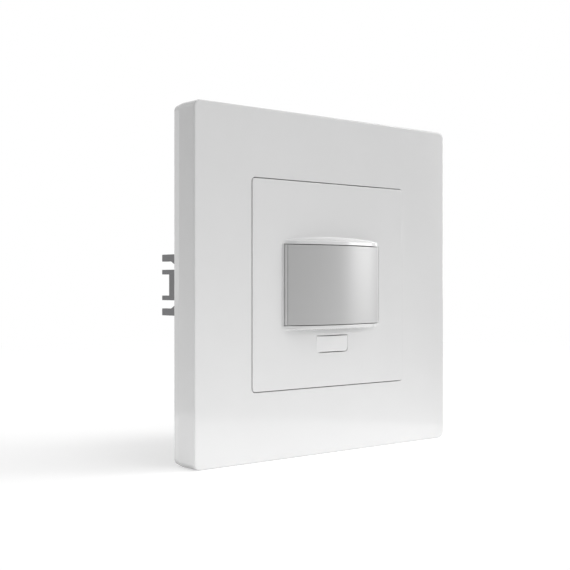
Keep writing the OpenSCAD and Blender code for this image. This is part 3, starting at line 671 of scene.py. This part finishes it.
def slotted_lobes(points, faces, x, z, r, floor_y, top_y):
    """Adds the two halves of a domed screw head on both sides of its slot."""
    rise = top_y - floor_y
    start = math.asin(SLOT_HALF / r)
    angles = np.linspace(start, math.pi - start, LOBE_STEPS)
    for side in (-1, 1):
        base = len(points)
        for scale, up in LOBE_LEVELS:
            for t in angles:
                across = max(r * scale * math.sin(t), SLOT_HALF)
                points.append((x + r * scale * math.cos(t), floor_y + rise * up, z + side * across))
        join_rings(faces, base, LOBE_STEPS, len(LOBE_LEVELS))


def make_claw_screw(side):
    """A claw's screw with a slotted head, a thread and a tapered tip."""
    name = "claw_screw_" + side
    low, high = (Vector(c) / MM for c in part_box(name))
    x, r = (low.x + high.x) / 2, (high.x - low.x) / 2
    seat, floor = low.y + HEAD_H, low.y + SLOT_D
    points, faces = [], []
    turned(points, faces, x, 0, [(r, floor), (r, seat - HEAD_CHAMFER_H), (r - HEAD_CHAMFER_IN, seat)])
    slotted_lobes(points, faces, x, 0, r, floor, low.y)
    rings = threaded(seat, high.y - TIP_L)
    rings.append((SHANK_R - THREAD_DEPTH, high.y - TIP_L))
    rings += [(radius, high.y - back) for radius, back in TIP_END]
    turned(points, faces, x, 0, rings)
    screw = mesh_object(name + "_thread", np.array(points) * MM, faces, FASTENER)
    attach(screw, name)
    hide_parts(name)


def make_release(which):
    """A wire release with ribs across its thumb end."""
    name = "release_" + which
    low, high = (Vector(c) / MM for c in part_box(name))
    end, step = high.y, (high.z - low.z) / RIBS
    outline = [(low.y, low.z), (low.y, high.z)]
    for i in range(RIBS):
        top = high.z - i * step
        crest = end - RIB_FALL * i
        outline.append((crest - RIB_DEPTH, top))
        outline += [(crest, top - step * share) for share in RIB_TOP]
    outline.append((end - RIB_FALL * RIBS - RIB_DEPTH, low.z))
    points = [(x, y, z) for x in (low.x, high.x) for y, z in outline]
    faces = []
    join_rings(faces, 0, len(outline), 2)
    lever = mesh_object(name + "_lever", np.array(points) * MM, faces, ORANGE)
    round_edges(lever, LEVER_ROUND * MM, LEVER_ANGLE)
    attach(lever, name)
    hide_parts(name)


def make_trim():
    """Funnels around the wire entries, rims round the screw wells and ribs under the housing."""
    points, faces = [], []
    for which in ("live", "load", "extra"):
        low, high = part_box("terminal_" + which)
        x = (low[0] + high[0]) / 2 / MM
        turned(points, faces, x, WIRE_Z, [(WIRE_R + r, y) for r, y in FUNNEL], closed=True)
    funnels = mesh_object("wire_funnels", np.array(points) * MM, faces, TERMINAL)
    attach(funnels, "mechanism")
    points, faces = [], []
    for x in (-BOSS_AT, BOSS_AT):
        for z in (-BOSS_AT, BOSS_AT):
            turned(points, faces, x, z, BOSS_RIM, closed=True)
    for i in BELLY_RIBS:
        x = BELLY_RIB_APART * i
        for y0, y1, half, proud in BELLY_RIB_STEPS:
            low, high = (x - half, y0, -BODY_HALF - proud), (x + half, y1, -BODY_HALF + BELLY_RIB_ROOT)
            box_faces(points, faces, low, high)
    trim = mesh_object("housing_trim", np.array(points) * MM, faces, HOUSING_DARK)
    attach(trim, "mechanism")


for side in ("left", "right"):
    make_claw_screw(side)
for which in ("live", "load", "extra"):
    make_release(which)
make_trim()


# Stage: floor, light and camera

SKY = 0.415
PAPER = 0.65
PAPER_GLOW = 0.55
FLOOR_HALF = 30.0
SHADOW_R = 150 * MM
SHADOW_END_R = 500 * MM
TABLE_R = 95 * MM
TABLE_SQUEEZE = 0.85
TABLE_SHIFT = 40 * MM
TABLE_EDGE = 2 * MM
TABLE_GLOW = 0.71
TABLE_SLANT = (1, 1, 0)
TABLE_END = 30 * MM
TABLE_END_SOFT = 15 * MM
FOOT_MIDDLE = (0, 8.5 * MM, 0)
FOOT_HALF = (42.4 * MM, 16.3 * MM, 0)
FOOT_EDGE = 1.5 * MM
LAMP_AWAY = 3.0

# Lamps: name, azimuth and elevation in degrees, size in metres, power in watts
LAMPS = (
    ("key", 63, 17, (1.36, 2.2), 49.0),
    ("rim", -154, 12, (0.85, 2.0), 2.5),
    ("top", 30, 68, (1.2, 1.2), 18.0),
)


def combined(tree, operation, first, second):
    """A number made of two by a Math node."""
    node = tree.nodes.new("ShaderNodeMath")
    node.operation = operation
    tree.links.new(first, node.inputs[0])
    tree.links.new(second, node.inputs[1])
    return node.outputs[0]


def moved(tree, operation, place, *amounts):
    """The outputs of a Vector Math node that takes a place and constant vectors."""
    node = tree.nodes.new("ShaderNodeVectorMath")
    node.operation = operation
    tree.links.new(place, node.inputs[0])
    for i, amount in enumerate(amounts):
        node.inputs[i + 1].default_value = amount
    return node.outputs


def seen_directly(tree):
    """One for camera, mirror and glass rays, nought for the light that a matt surface gathers."""
    path = tree.nodes.new("ShaderNodeLightPath")
    value = path.outputs["Is Camera Ray"]
    for ray in ("Is Glossy Ray", "Is Transmission Ray"):
        value = combined(tree, "MAXIMUM", value, path.outputs[ray])
    return value


def mixed(tree, factor, first, second):
    """Goes from the first shader to the second by a factor."""
    mix = tree.nodes.new("ShaderNodeMixShader")
    tree.links.new(factor, mix.inputs[0])
    tree.links.new(first, mix.inputs[1])
    tree.links.new(second, mix.inputs[2])
    return mix.outputs[0]


def added(tree, first, second):
    """The light of two shaders together."""
    add = tree.nodes.new("ShaderNodeAddShader")
    tree.links.new(first, add.inputs[0])
    tree.links.new(second, add.inputs[1])
    return add.outputs[0]


def make_world():
    """White where it is seen, a plain grey as a source of light."""
    world = bpy.data.worlds.new("studio")
    scene.world = world
    world.use_nodes = True
    tree = world.node_tree
    ambient = tree.nodes["Background"]
    ambient.inputs["Color"].default_value = (1, 1, 1, 1)
    ambient.inputs["Strength"].default_value = SKY
    white = tree.nodes.new("ShaderNodeBackground")
    white.inputs["Color"].default_value = (1, 1, 1, 1)
    white.inputs["Strength"].default_value = 1.0
    out = mixed(tree, seen_directly(tree), ambient.outputs[0], white.outputs[0])
    tree.links.new(out, tree.nodes["World Output"].inputs["Surface"])


def clear_of_foot(tree, place):
    """Nought under the object, where the table is covered, and one beside it."""
    from_middle = moved(tree, "SUBTRACT", place, FOOT_MIDDLE)["Vector"]
    mirrored = moved(tree, "ABSOLUTE", from_middle)["Vector"]
    parts = tree.nodes.new("ShaderNodeSeparateXYZ")
    tree.links.new(moved(tree, "SUBTRACT", mirrored, FOOT_HALF)["Vector"], parts.inputs[0])
    outside = combined(tree, "MAXIMUM", parts.outputs["X"], parts.outputs["Y"])
    return spread(tree, outside, 0, 1, 0, FOOT_EDGE, "SMOOTHSTEP")


def short_of_end(tree, place):
    """One on the table's front and left, nought past the slanting line that ends it on the right."""
    across = moved(tree, "DOT_PRODUCT", place, TABLE_SLANT)["Value"]
    return spread(tree, across, 1, 0, TABLE_END, TABLE_END + TABLE_END_SOFT, "SMOOTHSTEP")


def floor_material():
    """White paper that keeps a pale shadow, with an oval light table reaching further to the left."""
    mat, tree, shader = new_material("floor")
    tree.nodes.remove(shader)
    place = tree.nodes.new("ShaderNodeTexCoord").outputs["Object"]
    oval = moved(tree, "MULTIPLY_ADD", place, (TABLE_SQUEEZE, 1, 0), (TABLE_SHIFT, 0, 0))["Vector"]
    reach = moved(tree, "LENGTH", oval)["Value"]
    paper = tree.nodes.new("ShaderNodeBsdfDiffuse")
    paper.inputs["Color"].default_value = (PAPER, PAPER, PAPER, 1)
    white = tree.nodes.new("ShaderNodeEmission")
    white.inputs["Strength"].default_value = PAPER_GLOW
    near = added(tree, paper.outputs[0], white.outputs[0])
    bare = tree.nodes.new("ShaderNodeEmission")
    far = spread(tree, reach, 0, 1, SHADOW_R, SHADOW_END_R, "SMOOTHSTEP")
    shown = mixed(tree, far, near, bare.outputs[0])
    seen = mixed(tree, seen_directly(tree), paper.outputs[0], shown)
    level = spread(tree, reach, TABLE_GLOW, 0, TABLE_R - TABLE_EDGE, TABLE_R + TABLE_EDGE, "SMOOTHSTEP")
    for mask in (clear_of_foot, short_of_end):
        level = combined(tree, "MULTIPLY", level, mask(tree, place))
    glow = tree.nodes.new("ShaderNodeEmission")
    tree.links.new(level, glow.inputs["Strength"])
    lit = added(tree, seen, glow.outputs[0])
    path = tree.nodes.new("ShaderNodeLightPath")
    out = mixed(tree, path.outputs["Is Camera Ray"], lit, seen)
    tree.links.new(out, tree.nodes["Material Output"].inputs["Surface"])
    return mat


def make_floor():
    """A wide floor under the object."""
    mesh = bpy.data.meshes.new("floor")
    corners = [(x * FLOOR_HALF, y * FLOOR_HALF, FLOOR_Z) for x, y in ((-1, -1), (1, -1), (1, 1), (-1, 1))]
    mesh.from_pydata(corners, [], [(0, 1, 2, 3)])
    floor = bpy.data.objects.new("floor", mesh)
    scene.collection.objects.link(floor)
    mesh.materials.append(floor_material())


def area_light(name, azimuth, elevation, size, power):
    """A soft lamp aimed at the frame's middle; azimuth turns from the frame's front to its right."""
    data = bpy.data.lights.new(name, "AREA")
    data.shape = "RECTANGLE"
    data.size, data.size_y = size
    data.energy = power
    lamp = bpy.data.objects.new(name, data)
    scene.collection.objects.link(lamp)
    a, e = math.radians(azimuth), math.radians(elevation)
    away = Vector((math.sin(a) * math.cos(e), -math.cos(a) * math.cos(e), math.sin(e)))
    lamp.location = Vector((0, FACE_Y, 0)) + away * LAMP_AWAY
    lamp.rotation_euler = away.to_track_quat("Z", "Y").to_euler()


def make_camera():
    """The camera of the photograph, level and turned to the right."""
    data = bpy.data.cameras.new("camera")
    data.sensor_width = SENSOR_MM
    data.lens = FOCAL_PX / PHOTO_PX * SENSOR_MM
    data.clip_start = CAMERA_CLIP
    camera = bpy.data.objects.new("camera", data)
    scene.collection.objects.link(camera)
    right = Vector((math.cos(VIEW_ANGLE), -math.sin(VIEW_ANGLE), 0))
    ahead = Vector((math.sin(VIEW_ANGLE), math.cos(VIEW_ANGLE), 0))
    camera.location = Vector((0, FACE_Y, 0)) - right * CAMERA_ASIDE - ahead * CAMERA_AHEAD
    camera.rotation_euler = (math.pi / 2, 0, -VIEW_ANGLE)
    scene.camera = camera


make_world()
make_floor()
for lamp in LAMPS:
    area_light(*lamp)
make_camera()
scene.view_settings.view_transform = "Standard"
